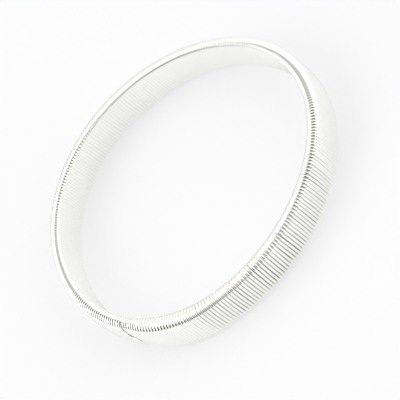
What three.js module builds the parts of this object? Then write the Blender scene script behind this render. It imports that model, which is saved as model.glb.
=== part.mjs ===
// A sleeve garter: an arm band made of one polished steel wire. The wire is close-wound into a long
// flattened coil, the coil is bent into a loop, and one end, wound narrower, is screwed into the other.
// Millimetres, +Z up. The band lies on its lower edge at z = 0, with the loop round the Z axis.
import * as THREE from "three";

// Driving dimensions of the band.
const LOOP_DIAMETER = 85; // across the outside of the loop, where it is round
const BAND_HEIGHT = 11; // the coil's wide way, from edge to edge
const BAND_THICKNESS = 3.9; // the coil's narrow way, from the arm outwards
const WIRE_DIAMETER = 0.8;
const TURN_PITCH = 0.85; // from one turn to the next, along the middle of the band
const GROOVE_DEPTH = 0.3; // how deep the dip between two turns is cut

// Driving dimensions of the join.
const JOIN_ANGLE = 205.9; // degrees round the loop, where the two ends meet
const END_GAP = 0.35; // open slit between the last turn and the first
const SCREWED_LENGTH = 12; // narrower turns of one end, half of them on each side of the slit
const SCREWED_CLEARANCE = 0.3; // from the narrower turns to the inside of the coil

// The loop was closed by hand, so it is a little out of round. Shares of its radius.
const OUT_OF_ROUND = [
  { waves: 2, cosine: -0.016, sine: 0.0033 },
  { waves: 3, cosine: 0.0082, sine: -0.0082 },
];

const STEEL = { color: 0xdfe0dc, roughness: 0.22, metalness: 1 };
const CORNER_SHARE = 0.53; // half of the narrow flat on a section's rounded ends, as a share of its edge
const HOLLOW_STEPS = 72; // smooth steps round the inside of the coil
const SCREWED_STEPS = 10;
const MIDDLE_ROW = 4; // the corner that the wire reaches half a turn after the first one
const UP = new THREE.Vector3(0, 0, 1);

// A stretch of the band's middle line, from one angle to another.
class LoopLine extends THREE.Curve {
  constructor(from, to) {
    super();
    this.from = from;
    this.to = to;
    this.radius = (LOOP_DIAMETER - BAND_THICKNESS) / 2;
  }

  getPoint(t, target = new THREE.Vector3()) {
    const angle = THREE.MathUtils.degToRad(THREE.MathUtils.lerp(this.from, this.to, t));
    const share = OUT_OF_ROUND.reduce(
      (sum, row) => sum + row.cosine * Math.cos(row.waves * angle) + row.sine * Math.sin(row.waves * angle),
      1,
    );
    return target.set(Math.cos(angle), Math.sin(angle), 0).multiplyScalar(this.radius * share);
  }

  // The point that lies out from the middle line by across, and above it by up.
  offsetPoint(t, across, up) {
    const outwards = this.getTangent(t).cross(UP);
    return this.getPoint(t).addScaledVector(outwards, across).addScaledVector(UP, up);
  }
}

// Half the height of a flattened section's straight sides. The ends beyond them are round.
const STRAIGHT_HALF = (BAND_HEIGHT - BAND_THICKNESS) / 2;

// The eight corners of a flattened section, in the order that the wire runs: up the inside, over the
// top, down the outside and under the bottom. edge is half of the section's thickness.
function flattenedSection(edge) {
  const corner = CORNER_SHARE * edge;
  const end = STRAIGHT_HALF + edge;
  return [
    { across: -edge, up: -STRAIGHT_HALF },
    { across: -edge, up: STRAIGHT_HALF },
    { across: -corner, up: end },
    { across: corner, up: end },
    { across: edge, up: STRAIGHT_HALF },
    { across: edge, up: -STRAIGHT_HALF },
    { across: corner, up: -end },
    { across: -corner, up: -end },
  ];
}

// How far along one turn each corner comes, as a share of the turn.
function turnShares(section) {
  const corners = section.map(({ across, up }) => new THREE.Vector2(across, up));
  const steps = corners.map((corner, i) => corner.distanceTo(corners[(i + 1) % corners.length]));
  const whole = steps.reduce((sum, step) => sum + step, 0);
  let travelled = 0;
  return steps.map((step) => {
    const share = travelled / whole;
    travelled += step;
    return share;
  });
}

// The coil as one hollow body, open at both ends. Its outer skin is a thread with one ridge for each
// turn of wire, and the lower edge is left flat where the band rests.
function coilGeometry() {
  const loopLength = new LoopLine(0, 360).getLength();
  const turns = Math.round((loopLength - END_GAP) / TURN_PITCH);
  const turnAngle = ((1 - END_GAP / loopLength) * 360) / turns;
  const line = new LoopLine(JOIN_ANGLE, JOIN_ANGLE + (turns + 1) * turnAngle);
  const ridge = flattenedSection(BAND_THICKNESS / 2);
  const groove = flattenedSection(BAND_THICKNESS / 2 - GROOVE_DEPTH);
  const hollow = flattenedSection(BAND_THICKNESS / 2 - WIRE_DIAMETER);
  const shares = turnShares(ridge);
  const rows = ridge.length;
  const columns = 2 * turns;
  const positions = [];
  const faces = [];

  const addPoint = (t, corner) => positions.push(...line.offsetPoint(t, corner.across, corner.up).toArray());
  const addQuad = (a, b, c, d) => faces.push(a, b, c, a, c, d);

  const skin = (column, row) => column * rows + row;
  for (let column = 0; column <= columns; column++) {
    for (let row = 0; row < rows; row++) {
      const restsThere = ridge[row].up === ridge[rows - 1].up;
      const corner = column % 2 === 0 || restsThere ? ridge[row] : groove[row];
      addPoint((column / 2 + shares[row]) / (turns + 1), corner);
    }
  }
  for (let column = 0; column < columns; column++) {
    for (let row = 0; row < rows - 1; row++) {
      addQuad(skin(column, row), skin(column, row + 1), skin(column + 1, row + 1), skin(column + 1, row));
    }
  }
  // After one turn the last row meets the first row, one ridge further on.
  for (let column = 0; column < columns - 2; column++) {
    addQuad(skin(column, rows - 1), skin(column + 2, 0), skin(column + 3, 0), skin(column + 1, rows - 1));
  }

  const firstInside = positions.length / 3;
  const inside = (step, row) => firstInside + step * rows + (row % rows);
  for (let step = 0; step <= HOLLOW_STEPS; step++) {
    const t = (shares[MIDDLE_ROW] + (step / HOLLOW_STEPS) * turns) / (turns + 1);
    hollow.forEach((corner) => addPoint(t, corner));
  }
  for (let step = 0; step < HOLLOW_STEPS; step++) {
    for (let row = 0; row < rows; row++) {
      addQuad(inside(step, row), inside(step + 1, row), inside(step + 1, row + 1), inside(step, row + 1));
    }
  }

  // The wall's two end faces, each with the step where the wire's end shows.
  const last = HOLLOW_STEPS;
  for (let row = 0; row < rows - 1; row++) {
    addQuad(skin(0, row), inside(0, row), inside(0, row + 1), skin(0, row + 1));
    addQuad(skin(columns, row), skin(columns, row + 1), inside(last, row + 1), inside(last, row));
  }
  addQuad(skin(0, rows - 1), inside(0, rows - 1), inside(0, 0), skin(2, 0));
  faces.push(skin(1, 0), skin(2, 0), inside(0, 0), skin(0, 0), skin(1, 0), inside(0, 0));
  addQuad(skin(columns - 2, rows - 1), skin(columns, 0), inside(last, 0), inside(last, rows - 1));
  const lastInside = inside(last, rows - 1);
  faces.push(skin(columns, rows - 1), skin(columns - 1, rows - 1), lastInside);
  faces.push(skin(columns - 1, rows - 1), skin(columns - 2, rows - 1), lastInside);

  const geometry = new THREE.BufferGeometry();
  geometry.setAttribute("position", new THREE.Float32BufferAttribute(positions, 3));
  geometry.setIndex(faces);
  geometry.computeVertexNormals();
  return geometry;
}

// The narrower turns of one end, which bridge the slit inside the coil's hollow.
function screwedGeometry() {
  const line = new LoopLine(0, 360);
  const halfAngle = (SCREWED_LENGTH / line.getLength()) * 180;
  const path = new LoopLine(JOIN_ANGLE - halfAngle, JOIN_ANGLE + halfAngle);
  const edge = BAND_THICKNESS / 2 - WIRE_DIAMETER - SCREWED_CLEARANCE;
  const corners = flattenedSection(edge).map(({ across, up }) => new THREE.Vector2(up, across));
  return new THREE.ExtrudeGeometry(new THREE.Shape(corners), { extrudePath: path, steps: SCREWED_STEPS });
}

function steelMesh(name, geometry) {
  const mesh = new THREE.Mesh(geometry, new THREE.MeshStandardMaterial(STEEL));
  mesh.name = name;
  return mesh;
}

const garter = new THREE.Group();
garter.add(steelMesh("coil_spring", coilGeometry()));
garter.add(steelMesh("screwed_end", screwedGeometry()));

// The origin is under the middle of the loop's box, on the surface that the band lies on.
const box = new THREE.Box3().setFromObject(garter);
const middle = box.getCenter(new THREE.Vector3());
garter.position.set(-middle.x, -middle.y, -box.min.z);

export default garter;
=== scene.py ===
"""A polished metal sleeve garter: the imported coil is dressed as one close-wound wire, on a pale table."""

import math

import bpy
import numpy as np
from mathutils import Matrix, Vector


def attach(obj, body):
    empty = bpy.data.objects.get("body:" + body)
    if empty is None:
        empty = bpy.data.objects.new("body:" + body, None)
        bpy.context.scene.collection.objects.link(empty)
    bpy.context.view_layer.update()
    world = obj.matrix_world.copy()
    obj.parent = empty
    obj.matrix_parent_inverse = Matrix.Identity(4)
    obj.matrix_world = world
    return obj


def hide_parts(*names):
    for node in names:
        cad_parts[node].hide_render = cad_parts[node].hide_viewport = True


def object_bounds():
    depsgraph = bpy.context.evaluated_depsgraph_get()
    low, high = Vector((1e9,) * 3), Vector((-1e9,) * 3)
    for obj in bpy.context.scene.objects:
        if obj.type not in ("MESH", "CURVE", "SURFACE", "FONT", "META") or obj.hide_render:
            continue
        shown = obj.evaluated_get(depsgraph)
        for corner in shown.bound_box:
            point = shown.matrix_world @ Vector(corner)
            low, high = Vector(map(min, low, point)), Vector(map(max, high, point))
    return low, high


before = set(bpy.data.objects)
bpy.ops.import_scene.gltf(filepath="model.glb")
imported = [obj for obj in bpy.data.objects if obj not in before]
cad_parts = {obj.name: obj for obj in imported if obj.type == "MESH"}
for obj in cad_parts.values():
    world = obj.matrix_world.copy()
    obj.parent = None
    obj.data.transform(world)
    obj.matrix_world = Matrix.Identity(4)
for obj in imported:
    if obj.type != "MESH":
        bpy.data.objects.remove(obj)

cad_box = [list(corner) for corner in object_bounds()]
MM = 0.001

# The band's sizes, as in the part's source.
LOOP_DIAMETER = 85 * MM
BAND_THICKNESS = 3.9 * MM
WIRE_DIAMETER = 0.8 * MM
TURN_PITCH = 0.85 * MM
JOIN_ANGLE = 205.9  # degrees round the loop
END_GAP = 0.35 * MM
SCREWED_LENGTH = 12 * MM
OUT_OF_ROUND = (  # waves round the loop, cosine and sine shares of the radius
    (2, -0.016, 0.0033),
    (3, 0.0082, -0.0082),
)
BAND_HEIGHT = cad_box[1][2] - cad_box[0][2]
LOOP_RADIUS = (LOOP_DIAMETER - BAND_THICKNESS) / 2
WIRE_RADIUS = WIRE_DIAMETER / 2

# Half-sizes, across and up, of the oval that the wire's middle line follows: in the coil, and in the
# narrower turns that are screwed inside its join.
COIL_SIZE = (BAND_THICKNESS / 2 - WIRE_RADIUS, BAND_HEIGHT / 2 - WIRE_RADIUS)
SCREWED_SIZE = (0.42 * MM, 3.97 * MM)

# The shape of that oval, which is made of six arcs: the inner face, two over the top, the outer face and two
# under the bottom.
OUTER_FACE = 3  # the place of the outer face in that order, from 0
FACE_CURVE = math.radians(6)  # how far the flattened faces still curve, to each side of their middle
OUTER_ROUNDER = 0.25  # how much rounder the outer shoulders are than the inner ones, each from their mean
OUTER_ADVANCE = 0.25  # of the even share of a turn's step along the band, made on the outer face

# How finely the wire is made, and how closely the loop is measured.
ARC_STEPS = (2, 6, 7, 3, 7, 5)  # on each arc of a turn
BOWED_STEPS = (3, 6, 7, 9, 7, 6)  # in the turns that bulge sideways beside the slit
WIRE_SIDES = 10
LENGTH_SAMPLES = 2001
OUTLINE_SAMPLES = 3601

# Each cut end of the wire is a low dome: a smaller ring a little further on, and a point in its middle.
CUT_LENGTH = 0.35 * WIRE_RADIUS
CUT_RADIUS = 0.75 * WIRE_RADIUS
CUT_RISE = 0.08 * WIRE_RADIUS

# How the turns depart from even ones all round the loop.
SLIDE_WAVES = ((9.7, 0.022, 0.3), (3.1, 0.012, 1.9), (23.0, 0.030, 4.1))  # turns, mm, phase
LEAN_WAVES = ((17.0, 0.060, 2.2), (41.0, 0.090, 0.4), (6.3, 0.020, 5.0))
TURN_JITTER = 0.008 * MM
JITTER_SEED = 11
INNER_FULLER = 0.14  # the turns press into each other along the inside and stand apart along the outside
OUTER_FULLER = 0.04

# How they depart from even ones beside the join, which was closed by hand.
TUCK_DEPTH = 0.3 * MM  # the first turns are narrower, where they go under the other end
TUCK_TURNS = 7
SLIT_BOW = 1.45 * MM  # how far the turns beside the slit bulge sideways on the outer face
BOW_DROPS = (0.24, 0.66, 0.72, 1.12)  # how far down that begins, is full, begins to fade and would end
BOW_TURNS = 22
SWELL = 0.7 * MM  # how far the outer face stands out where the other end's narrower turns lie inside it
SWELL_TURNS = (2, 12, 21, 38)  # where that begins, is full, begins to fall and ends
TIGHT_FULLER = 0.1  # the turns next to the join are pressed together on the outside as well
TIGHT_TURNS = (24, 38)  # where that begins to fade and ends
RIM_CLOSING = (0.21 * MM, 0.15 * MM)  # how far each end leans over the slit at the rim, inside and outside
SLIT_OPENING = 0.13 * MM  # how much wider the slit stands open halfway down the outer face

# The wire's plating, and a painted shade on the narrower turns screwed inside the join, dark like the shade
# within the slit: the darkest and lightest tone of each.
PLATED = ((0.965, 0.967, 0.938), (0.987, 0.986, 0.962))
PAINTED_SHADE_TONES = ((0.2, 0.195, 0.185), (0.32, 0.31, 0.3))

# The wire's surface. Cells are those of a noise texture, to a metre where nothing else is said.
WIRE_MAP = "WireLength"
DIE_LINE_CELLS = (180.0, 26.0, 1.0)  # to a metre of the wire's length, and to once round it
DIE_LINE_DEPTH = 0.01 * MM
DIE_LINE_STRENGTH = 0.12
POLISH_CELLS = 240.0
TONE_CELLS = 60.0
WIRE_ROUGHNESS = (0.07, 0.2)
NOISE_RANGE = (0.3, 0.7)  # where nearly all values of one noise texture lie
NOISE_PRODUCT_RANGE = (0.1, 0.45)  # the same for two of them multiplied

# The table, which glows a little though it is no lamp: painted light that lifts the shade around the band.
TABLE_HALF_SIZE = 3.0
TABLE_TONES = ((0.355, 0.355, 0.36), (0.375, 0.375, 0.378))
TABLE_CELLS = 7.0
TABLE_ROUGHNESS = 0.85
TABLE_PAINTED_GLOW = 0.6
TABLE_PAINTED_GLOW_COLOUR = (0.985, 0.985, 1, 1)

# The camera, fitted to the photograph. Its middle ray passes close by the loop's centre, on the table.
CAMERA_ELEVATION = 41.66
CAMERA_ROLL = -51.44
CAMERA_DISTANCE = 509.6 * MM
CAMERA_RIGHT = -0.43 * MM  # from the loop's centre to that ray
CAMERA_UP = -1.01 * MM
CAMERA_CLIP = (0.01, 50)
LENS_PIXELS = 1996.2  # the focal length, in the photograph's pixels
PHOTO_PIXELS = 400
SENSOR = 36  # millimetres

# The room's dark side, an oval: its middle lies halfway between two directions, and its length runs along
# them. Azimuths, elevations and half-sizes in degrees.
DARK_LOW = (-22, -18)
DARK_HIGH = (-8, 54)
DARK_HALF_LENGTH = 54
DARK_HALF_WIDTH = 37
DARK_EDGE = (1.2, 0.85)  # where it begins and where it is full, as shares of those half-sizes
DARK_COLOUR = (0.015, 0.015, 0.013, 1)

# The rest of the room. A place in it is how far a direction of length 1 goes along X, Y or Z.
ROOM_STRENGTH = 1.65
WALL_STOP = (0.5, 0.65)  # the height up to which the walls keep one tone, and that tone
CEILING_STOP = (1.0, 0.57)  # straight up, and the tone there
FOOT_COLOUR = (0.33, 0.33, 0.33, 1)
FOOT_HEIGHTS = (0.6, 0.3)  # along Z, where the grey foot of the back wall begins and where it is full
FOOT_BACK = (0.1, 0.5)  # the same along Y
FOOT_SIDE = (0.6, 0.25)  # along X, where it is least and where it is full
FOOT_LEAST = 0.35
BACKDROP_COLOUR = (0.9, 0.9, 0.91, 1)


def smooth(value, start=0, end=1):
    """0 up to the start and 1 from the end on, with a smooth rise between them."""
    x = np.clip((value - start) / (end - start), 0, 1)
    return x * x * (3 - 2 * x)


def rise_and_fall(value, begins, full, falls, ends):
    return smooth(value, begins, full) * (1 - smooth(value, falls, ends))


def middle_line(angle):
    """Points of the band's middle line at these angles, in radians, and the directions out of the loop."""
    share = np.ones_like(angle)
    slope = np.zeros_like(angle)
    for waves, cosine, sine in OUT_OF_ROUND:
        share += cosine * np.cos(waves * angle) + sine * np.sin(waves * angle)
        slope += waves * (sine * np.cos(waves * angle) - cosine * np.sin(waves * angle))
    x, y = np.cos(angle), np.sin(angle)
    points = LOOP_RADIUS * np.stack([share * x, share * y], -1)
    out = np.stack([slope * y + share * x, share * y - slope * x], -1)
    return points, out / np.linalg.norm(out, axis=-1, keepdims=True)


def loop_length():
    points, _ = middle_line(np.linspace(0, 2 * math.pi, LENGTH_SAMPLES))
    return float(np.linalg.norm(np.diff(points, axis=0), axis=1).sum())


def loop_centre():
    """The loop's own centre, on the table. It is out of round, so that isn't quite the middle of its box."""
    line, out = middle_line(np.linspace(0, 2 * math.pi, OUTLINE_SAMPLES))
    outline = line + out * BAND_THICKNESS / 2
    box_middle = (outline.min(0) + outline.max(0)) / 2
    cad_middle = (np.array(cad_box[0]) + np.array(cad_box[1])) / 2
    return Vector((*(cad_middle[:2] - box_middle), 0))


LOOP_LENGTH = loop_length()
LOOP_CENTRE = loop_centre()
TURNS = round((LOOP_LENGTH - END_GAP) / TURN_PITCH)
TURN_ANGLE = math.radians(360) * (1 - END_GAP / LOOP_LENGTH) / TURNS


class Section:
    """The flattened oval that a turn's middle line follows: two nearly flat faces and two round ends, all
    arcs. The wire runs up the inside, over the top, down the outside and under the bottom."""

    def __init__(self, half_width, half_height):
        bend = math.tan(FACE_CURVE / 2)
        mean = (half_width - half_height * bend) / (1 - bend)
        inner, outer = mean * (1 - OUTER_ROUNDER), mean * (1 + OUTER_ROUNDER)
        inner_face, outer_face = (
            radius + (half_height - radius) / math.sin(FACE_CURVE) for radius in (inner, outer)
        )
        self.half_width, self.half_height = half_width, half_height
        # Each arc's radius, its middle (across, up) and how far it turns.
        quarter = math.pi / 2 - FACE_CURVE
        crest = inner_face - half_width - (inner_face - inner) * math.cos(FACE_CURVE)
        arcs = (
            (inner_face, inner_face - half_width, 0, 2 * FACE_CURVE),
            (inner, crest, half_height - inner, quarter),
            (outer, crest, half_height - outer, quarter),
            (outer_face, half_width - outer_face, 0, 2 * FACE_CURVE),
            (outer, crest, outer - half_height, quarter),
            (inner, crest, inner - half_height, quarter),
        )
        self.radius, self.middle_across, self.middle_up, turned = (np.array(column) for column in zip(*arcs))
        lengths = self.radius * turned
        self.corners = np.concatenate([[0], np.cumsum(lengths)]) / lengths.sum()
        self.outward_angles = math.pi + FACE_CURVE - np.concatenate([[0], np.cumsum(turned)])
        # On its outer face the wire makes little of its step along the band.
        steps = np.diff(self.corners)
        outer_step = OUTER_ADVANCE * steps[OUTER_FACE]
        steps *= (1 - outer_step) / (1 - steps[OUTER_FACE])
        steps[OUTER_FACE] = outer_step
        self.steps_made = np.concatenate([[0], np.cumsum(steps)])

    def at(self, share):
        """Across and up, and the outward direction, after this share of a turn."""
        angle = np.interp(share, self.corners, self.outward_angles)
        arc = np.clip(np.searchsorted(self.corners, share, side="right") - 1, 0, len(self.radius) - 1)
        across = self.radius[arc] * np.cos(angle) + self.middle_across[arc]
        up = self.radius[arc] * np.sin(angle) + self.middle_up[arc]
        return across, up, np.cos(angle), np.sin(angle)

    def rings(self, steps):
        """The shares of a turn at which the wire has a ring, with this many steps on each arc."""
        parts = zip(self.corners[:-1], self.corners[1:], steps)
        return np.concatenate([np.linspace(a, b, count, endpoint=False) for a, b, count in parts])


def ring_turns(first, last, section, joined):
    """The turn numbers, with their fractions, at which the wire has a ring."""
    turns = []
    for number in range(math.floor(first), math.ceil(last)):
        bowed = joined and min(number, TURNS - 1 - number) < BOW_TURNS
        turns.append(number + section.rings(BOWED_STEPS if bowed else ARC_STEPS))
    turns = np.concatenate(turns)
    return np.concatenate([[first], turns[(turns > first) & (turns < last)], [last]])


def wobble(turn, waves):
    return sum(size * MM * np.sin(2 * math.pi * turn / period + phase) for period, size, phase in waves)


def uneven_slide(turn, section, height):
    """How far the wire lies along the band from an even helix, everywhere round the loop."""
    slide = wobble(turn, SLIDE_WAVES) + wobble(turn, LEAN_WAVES) * height
    # One draw for each turn counts in full at its middle, and there is one more at each end.
    jitter = np.random.default_rng(JITTER_SEED).normal(0, TURN_JITTER, TURNS + 2)
    slide += np.interp(turn + 0.5, np.arange(TURNS + 2), jitter)
    share = turn % 1.0
    return slide + TURN_PITCH * (np.interp(share, section.corners, section.steps_made) - share)


def slit_slide(turn, from_slit, height, outside):
    """How far the turns beside the slit give way along the band: they bulge low on the outer face, lean over
    the slit at the rim, and leave it wider halfway down."""
    nearness = np.clip(1 - from_slit / BOW_TURNS, 0, 1)
    drop = np.clip((1 - height) / 2, 0, 1)
    bow = SLIT_BOW * rise_and_fall(drop, *BOW_DROPS) * outside
    closing = RIM_CLOSING[0] + (RIM_CLOSING[1] - RIM_CLOSING[0]) * outside
    closing *= np.sign(turn - TURNS / 2) * np.clip(height, 0, 1) ** 2
    opening = SLIT_OPENING * (turn > TURNS / 2) * np.clip(1 - height ** 2, 0, 1) * outside * nearness ** 2
    return (bow + closing - opening) * nearness


def wire_path(first, last, section, joined):
    """The wire's middle line from one turn number to another, the outward directions along it, and its
    radius. The joined wire is the coil itself, which gives way beside its slit."""
    turn = ring_turns(first, last, section, joined)
    across, up, out_across, out_up = section.at(turn % 1.0)
    height = up / section.half_height
    outside = smooth((across / section.half_width + 1) / 2)
    slide = uneven_slide(turn, section, height)
    outer_fuller = OUTER_FULLER
    if joined:
        from_slit = np.minimum(turn, TURNS - turn)
        slide += slit_slide(turn, from_slit, height, outside)
        tuck = TUCK_DEPTH * (1 - smooth(turn, 0, TUCK_TURNS))
        swell = SWELL * rise_and_fall(turn, *SWELL_TURNS)
        across, up = across - tuck * out_across + swell * outside, up - tuck * out_up
        outer_fuller = TIGHT_FULLER + (OUTER_FULLER - TIGHT_FULLER) * smooth(from_slit, *TIGHT_TURNS)
    angle = math.radians(JOIN_ANGLE) + turn * TURN_ANGLE + slide / LOOP_RADIUS
    middle, out = middle_line(angle)
    place = np.column_stack([middle + out * across[:, None], up + BAND_HEIGHT / 2])
    facing = np.column_stack([out * out_across[:, None], out_up])
    radius = WIRE_RADIUS * (1 + INNER_FULLER * (1 - outside) + outer_fuller * outside)
    return place, facing, radius


def wire_points(place, facing, radius):
    """The points of the wire, ring by ring, and after them a ring and a point for each cut end."""
    along = np.gradient(place, axis=0)
    along /= np.linalg.norm(along, axis=1, keepdims=True)
    normal = facing - along * (facing * along).sum(1, keepdims=True)
    normal /= np.linalg.norm(normal, axis=1, keepdims=True)
    side = np.cross(along, normal)
    spin = 2 * math.pi * np.arange(WIRE_SIDES) / WIRE_SIDES
    spoke = np.cos(spin)[None, :, None] * normal[:, None] + np.sin(spin)[None, :, None] * side[:, None]
    rings = place[:, None] + radius[:, None, None] * spoke
    ends = []
    for row, way in ((0, -1), (-1, 1)):
        tip = place[row] + way * CUT_LENGTH * along[row]
        ends += [tip + CUT_RADIUS * spoke[row], tip + way * CUT_RISE * along[row]]
    return np.vstack([rings.reshape(-1, 3), *ends])


def wire_faces(count):
    """The faces between this many rings, and after them those of the two cut ends."""
    ring = np.arange(count - 1)[:, None] * WIRE_SIDES
    here = np.arange(WIRE_SIDES)
    after = (here + 1) % WIRE_SIDES
    sides = [ring + here, ring + after, ring + WIRE_SIDES + after, ring + WIRE_SIDES + here]
    faces = np.stack(sides, -1).reshape(-1, 4).tolist()
    first_cap, last_cap = count * WIRE_SIDES, count * WIRE_SIDES + WIRE_SIDES + 1
    last_ring = (count - 1) * WIRE_SIDES
    for a, b in zip(here.tolist(), after.tolist()):
        faces.append([b, a, first_cap + a, first_cap + b])
        faces.append([first_cap + b, first_cap + a, first_cap + WIRE_SIDES])
        faces.append([last_ring + a, last_ring + b, last_cap + b, last_cap + a])
        faces.append([last_cap + a, last_cap + b, last_cap + WIRE_SIDES])
    return faces


def map_wire(mesh, place):
    """A map of the wire's sides: the length along it, in metres, and the share of the way round it."""
    steps = np.linalg.norm(np.diff(place, axis=0), axis=1)
    length = np.concatenate([[0], np.cumsum(steps)])
    low, high = np.repeat(length[:-1], WIRE_SIDES), np.repeat(length[1:], WIRE_SIDES)
    left = np.tile(np.arange(WIRE_SIDES) / WIRE_SIDES, len(steps))
    right = left + 1 / WIRE_SIDES
    sides = np.stack([low, left, low, right, high, right, high, left], -1).ravel()
    corners = np.zeros(2 * len(mesh.loops), np.float32)
    corners[:len(sides)] = sides
    mesh.uv_layers.new(name=WIRE_MAP).uv.foreach_set("vector", corners)


def wire_piece(name, place, facing, radius):
    """A round wire along the path, closed by a low dome at each cut end."""
    mesh = bpy.data.meshes.new(name)
    mesh.from_pydata(wire_points(place, facing, radius).tolist(), [], wire_faces(len(place)))
    mesh.shade_smooth()
    map_wire(mesh, place)
    piece = bpy.data.objects.new(name, mesh)
    bpy.context.scene.collection.objects.link(piece)
    return piece


class Nodes:
    """A short way to build a node tree."""

    def __init__(self, tree):
        self.tree = tree
        tree.nodes.clear()

    def add(self, kind, inputs=None, **settings):
        node = self.tree.nodes.new(kind)
        for key, value in settings.items():
            setattr(node, key, value)
        for key, value in (inputs or {}).items():
            if isinstance(value, bpy.types.NodeSocket):
                self.tree.links.new(value, node.inputs[key])
            else:
                node.inputs[key].default_value = value
        return node

    def noise(self, place, cells, detail, roughness=0.5):
        inputs = {"Vector": place, "Scale": cells, "Detail": detail, "Roughness": roughness}
        return self.add("ShaderNodeTexNoise", inputs).outputs["Fac"]

    def calculate(self, operation, first, second):
        return self.add("ShaderNodeMath", {0: first, 1: second}, operation=operation).outputs["Value"]

    def along(self, look, axis):
        """How far this direction goes along the axis."""
        inputs = {0: look, 1: tuple(axis)}
        return self.add("ShaderNodeVectorMath", inputs, operation="DOT_PRODUCT").outputs["Value"]

    def fade(self, value, start, full, least=0.0):
        """From the least where the value is at its start to 1 where it is full, smoothly."""
        inputs = {"Value": value, "From Min": start, "From Max": full, "To Min": least}
        return self.add("ShaderNodeMapRange", inputs, interpolation_type="SMOOTHSTEP").outputs["Result"]

    def ramp(self, factor, low, high):
        """The colour at this factor between two stops, each of them a position and a colour or a grey."""
        node = self.add("ShaderNodeValToRGB", {"Fac": factor})
        for element, (position, colour) in zip(node.color_ramp.elements, (low, high)):
            element.position = position
            element.color = (*colour, 1) if isinstance(colour, tuple) else (colour, colour, colour, 1)
        return node.outputs["Color"]

    def mix(self, share, first, second):
        """Two colours mixed. The colour sockets share their names with others, so they go by number."""
        inputs = {"Factor": share, 6: first, 7: second}
        return self.add("ShaderNodeMix", inputs, data_type="RGBA").outputs[2]

    def background(self, colour, strength):
        return self.add("ShaderNodeBackground", {"Color": colour, "Strength": strength}).outputs["Background"]


def steel_wire(name, tones):
    """Drawn steel wire: fine lines left by the drawing die run along it, under a faint uneven polish."""
    material = bpy.data.materials.new(name)
    material.use_nodes = True
    n = Nodes(material.node_tree)
    path = n.add("ShaderNodeUVMap", uv_map=WIRE_MAP).outputs["UV"]
    drawn = n.add("ShaderNodeMapping", {"Vector": path, "Scale": DIE_LINE_CELLS}).outputs["Vector"]
    lines = n.noise(drawn, cells=1.0, detail=3.0, roughness=0.6)
    place = n.add("ShaderNodeTexCoord").outputs["Object"]
    cloud = n.noise(place, POLISH_CELLS, detail=4.0, roughness=0.55)
    patch = n.noise(place, TONE_CELLS, detail=2.0)
    rough = n.add(
        "ShaderNodeMapRange",
        {
            "Value": n.calculate("MULTIPLY", cloud, lines),
            "From Min": NOISE_PRODUCT_RANGE[0],
            "From Max": NOISE_PRODUCT_RANGE[1],
            "To Min": WIRE_ROUGHNESS[0],
            "To Max": WIRE_ROUGHNESS[1],
        },
    )
    bump = n.add(
        "ShaderNodeBump", {"Height": lines, "Strength": DIE_LINE_STRENGTH, "Distance": DIE_LINE_DEPTH}
    )
    shader = n.add(
        "ShaderNodeBsdfPrincipled",
        {
            "Base Color": n.ramp(patch, *zip(NOISE_RANGE, tones)),
            "Metallic": 1.0,
            "Roughness": rough.outputs["Result"],
            "Normal": bump.outputs["Normal"],
        },
    )
    n.add("ShaderNodeOutputMaterial", {"Surface": shader.outputs["BSDF"]})
    return material


def table_top():
    """A matt grey surface with a slight unevenness of tone. Its glow is painted light: it makes the table
    look nearly white, as if lit from below, and lifts the shade around the band."""
    material = bpy.data.materials.new("table_top")
    material.use_nodes = True
    n = Nodes(material.node_tree)
    place = n.add("ShaderNodeTexCoord").outputs["Object"]
    cloud = n.noise(place, TABLE_CELLS, detail=2.0)
    shader = n.add(
        "ShaderNodeBsdfPrincipled",
        {
            "Base Color": n.ramp(cloud, *zip(NOISE_RANGE, TABLE_TONES)),
            "Roughness": TABLE_ROUGHNESS,
            "Emission Color": TABLE_PAINTED_GLOW_COLOUR,
            "Emission Strength": TABLE_PAINTED_GLOW,
        },
    )
    n.add("ShaderNodeOutputMaterial", {"Surface": shader.outputs["BSDF"]})
    return material


def direction(azimuth, elevation):
    """The direction from the object towards this azimuth, 0 at -Y and 90 at +X, and elevation."""
    a, e = math.radians(azimuth), math.radians(elevation)
    return Vector((math.sin(a) * math.cos(e), -math.cos(a) * math.cos(e), math.sin(e)))


def add_camera():
    back = direction(0, CAMERA_ELEVATION)
    level = Vector((1, 0, 0))
    upright = back.cross(level)
    roll = math.radians(CAMERA_ROLL)
    right = math.cos(roll) * level + math.sin(roll) * upright
    up = math.cos(roll) * upright - math.sin(roll) * level
    eye = LOOP_CENTRE + back * CAMERA_DISTANCE + right * CAMERA_RIGHT + up * CAMERA_UP
    data = bpy.data.cameras.new("camera")
    data.sensor_width = SENSOR
    data.lens = LENS_PIXELS / PHOTO_PIXELS * SENSOR
    data.clip_start, data.clip_end = CAMERA_CLIP
    camera = bpy.data.objects.new("camera", data)
    camera.matrix_world = Matrix.Translation(eye) @ Matrix((right, up, back)).transposed().to_4x4()
    bpy.context.scene.collection.objects.link(camera)
    bpy.context.scene.camera = camera


def add_table():
    mesh = bpy.data.meshes.new("table")
    half = TABLE_HALF_SIZE
    corners = [(-half, -half, 0), (half, -half, 0), (half, half, 0), (-half, half, 0)]
    mesh.from_pydata(corners, [], [(0, 1, 2, 3)])
    table = bpy.data.objects.new("table", mesh)
    mesh.materials.append(table_top())
    bpy.context.scene.collection.objects.link(table)


def add_softbox(name, azimuth, elevation, distance, size, power):
    data = bpy.data.lights.new(name, "AREA")
    data.shape = "SQUARE"
    data.size = size
    data.energy = power
    lamp = bpy.data.objects.new(name, data)
    toward = direction(azimuth, elevation)
    lamp.location = toward * distance
    lamp.rotation_mode = "QUATERNION"
    lamp.rotation_quaternion = toward.to_track_quat("Z", "Y")
    bpy.context.scene.collection.objects.link(lamp)


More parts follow.
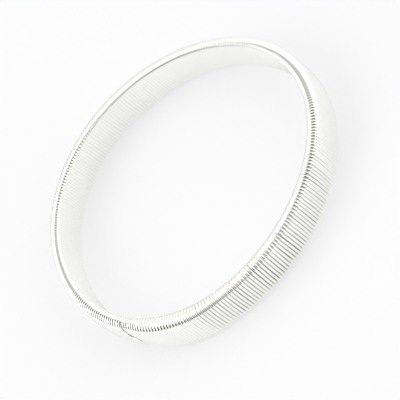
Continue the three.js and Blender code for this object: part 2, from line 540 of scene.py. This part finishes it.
def dark_side(n, look):
    """1 inside the room's dark oval and 0 outside it, with a soft edge."""
    low, high = direction(*DARK_LOW), direction(*DARK_HIGH)
    middle, length = (low + high).normalized(), (high - low).normalized()
    width = middle.cross(length)
    length_share = n.along(look, length / math.sin(math.radians(DARK_HALF_LENGTH)))
    width_share = n.along(look, width / math.sin(math.radians(DARK_HALF_WIDTH)))
    offset = n.add("ShaderNodeCombineXYZ", {"X": length_share, "Y": width_share}).outputs["Vector"]
    reach = n.add("ShaderNodeVectorMath", {0: offset}, operation="LENGTH").outputs["Value"]
    ahead = n.calculate("GREATER_THAN", n.along(look, middle), 0.0)
    return n.calculate("MULTIPLY", n.fade(reach, *DARK_EDGE), ahead)


def room_walls(n, look):
    """Pale walls that are a little darker overhead. The foot of the back wall is grey, least towards +X."""
    across, back, height = (n.along(look, axis) for axis in Matrix.Identity(3))
    walls = n.ramp(height, WALL_STOP, CEILING_STOP)
    foot = n.calculate("MULTIPLY", n.fade(height, *FOOT_HEIGHTS), n.fade(back, *FOOT_BACK))
    foot = n.calculate("MULTIPLY", foot, n.fade(across, *FOOT_SIDE, least=FOOT_LEAST))
    return n.mix(foot, walls, FOOT_COLOUR)


def add_studio():
    """A pale room, grey at the foot of its back wall, with one dark side below and behind the camera. Where
    the camera would see the room past the table, it sees a plain pale backdrop instead."""
    world = bpy.data.worlds.new("studio")
    bpy.context.scene.world = world
    world.use_nodes = True
    n = Nodes(world.node_tree)
    look = n.add("ShaderNodeTexCoord").outputs["Generated"]
    colour = n.mix(dark_side(n, look), room_walls(n, look), DARK_COLOUR)
    room, backdrop = n.background(colour, ROOM_STRENGTH), n.background(BACKDROP_COLOUR, 1.0)
    seen = n.add("ShaderNodeLightPath").outputs["Is Camera Ray"]
    both = n.add("ShaderNodeMixShader", {0: seen, 1: room, 2: backdrop}).outputs["Shader"]
    n.add("ShaderNodeOutputWorld", {"Surface": both})


add_camera()

coil_wire = wire_piece("coil_wire", *wire_path(0, TURNS, Section(*COIL_SIZE), joined=True))
screwed_turns = SCREWED_LENGTH / LOOP_LENGTH * TURNS
screwed_wire = wire_piece("screwed_wire", *wire_path(0, screwed_turns, Section(*SCREWED_SIZE), joined=False))
# The narrower turns lie half on each side of the slit.
screwed_wire.data.transform(Matrix.Rotation(-TURN_ANGLE * screwed_turns / 2, 4, "Z"))
coil_wire.data.materials.append(steel_wire("polished_wire", PLATED))
# The narrower turns inside the join are coloured nearly black: painted shade for the slit.
screwed_wire.data.materials.append(steel_wire("painted_shade_wire", PAINTED_SHADE_TONES))
for piece, node in ((coil_wire, "coil_spring"), (screwed_wire, "screwed_end")):
    piece.data.transform(Matrix.Translation(LOOP_CENTRE))
    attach(piece, "root")
    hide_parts(node)

add_table()
add_studio()
add_softbox("key", azimuth=258, elevation=42, distance=1.6, size=1.3, power=7.5)
add_softbox("fill", azimuth=45, elevation=25, distance=1.8, size=1.4, power=7)

scene = bpy.context.scene
scene.view_settings.view_transform = "Standard"
scene.view_settings.look = "None"
